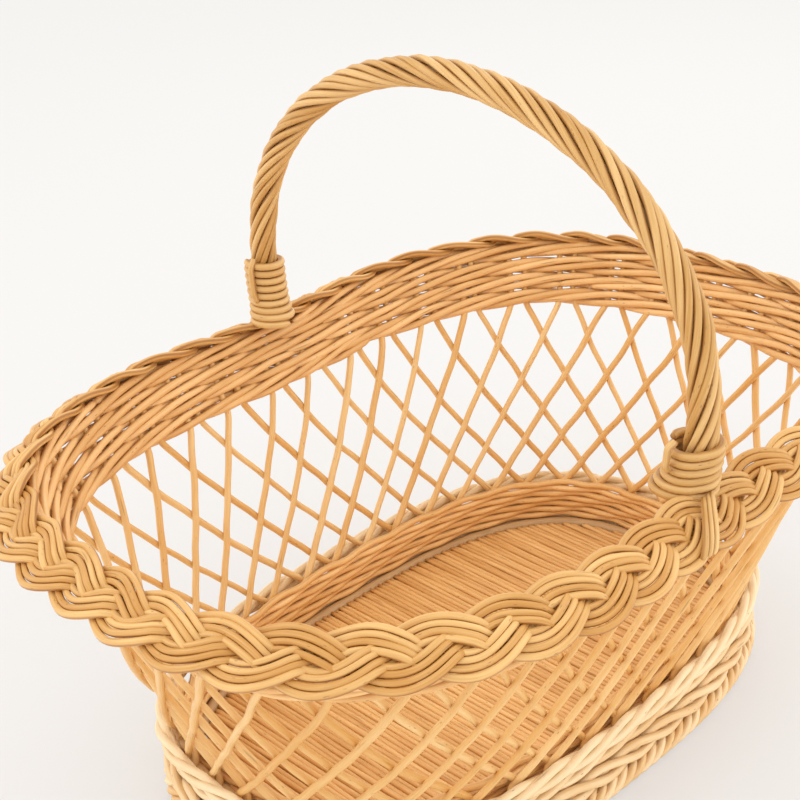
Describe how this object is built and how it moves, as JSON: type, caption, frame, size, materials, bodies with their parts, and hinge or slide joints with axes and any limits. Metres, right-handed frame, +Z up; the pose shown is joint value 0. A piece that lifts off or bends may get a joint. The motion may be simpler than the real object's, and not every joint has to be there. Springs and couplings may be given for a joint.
{
  "type": "oval basket",
  "caption": "Free-standing oval willow basket with an open lattice side, a woven foot, a flat plaited border and one fixed roped handle across its middle.",
  "frame": {"origin": "under the middle of the basket, on the surface it stands on", "axes": "+X along the basket's length, +Y across it in the plane of the handle, +Z up"},
  "size_m": [0.4389, 0.3209, 0.3273],
  "materials": {
    "straw": "peeled willow, honey straw, satin",
    "pale_straw": "peeled willow, pale straw, satin",
    "honey": "peeled willow, darker honey, satin",
    "shade": "thick willow rods, golden brown, matt"
  },
  "bodies": {
    "root": {"side_rod_01": "straw", "side_rod_02": "straw", "side_rod_03": "straw", "side_rod_04": "straw", "side_rod_05": "straw", "side_rod_06": "straw", "side_rod_07": "straw", "side_rod_08": "straw", "side_rod_09": "straw", "side_rod_10": "straw", "side_rod_11": "straw", "side_rod_12": "straw", "side_rod_13": "straw", "side_rod_14": "straw", "side_rod_15": "straw", "side_rod_16": "straw", "side_rod_17": "straw", "side_rod_18": "straw", "side_rod_19": "straw", "side_rod_20": "straw", "side_rod_21": "straw", "side_rod_22": "straw", "side_rod_23": "straw", "side_rod_24": "straw", "side_rod_25": "straw", "side_rod_26": "straw", "side_rod_27": "straw", "side_rod_28": "straw", "side_rod_29": "straw", "side_rod_30": "straw", "side_rod_31": "straw", "side_rod_32": "straw", "side_rod_33": "straw", "side_rod_34": "straw", "side_rod_35": "straw", "side_rod_36": "straw", "side_rod_37": "straw", "side_rod_38": "straw", "side_rod_39": "straw", "upper_band": "honey", "border_strand_1": "straw", "border_strand_2": "straw", "border_strand_3": "straw", "foot_border": "pale_straw", "foot_band": "straw", "foot_wale": "pale_straw", "upsett_band": "honey", "base_hoop": "shade", "base_mat": "honey", "base_stick_1": "shade", "base_stick_2": "shade", "base_stick_3": "shade", "handle_bow": "shade", "handle_rope_1": "straw", "handle_rope_2": "straw", "handle_rope_3": "straw", "lashing_far": "straw", "lashing_near": "straw", "rod_ends": "pale_straw"}
  },
  "joints": []
}
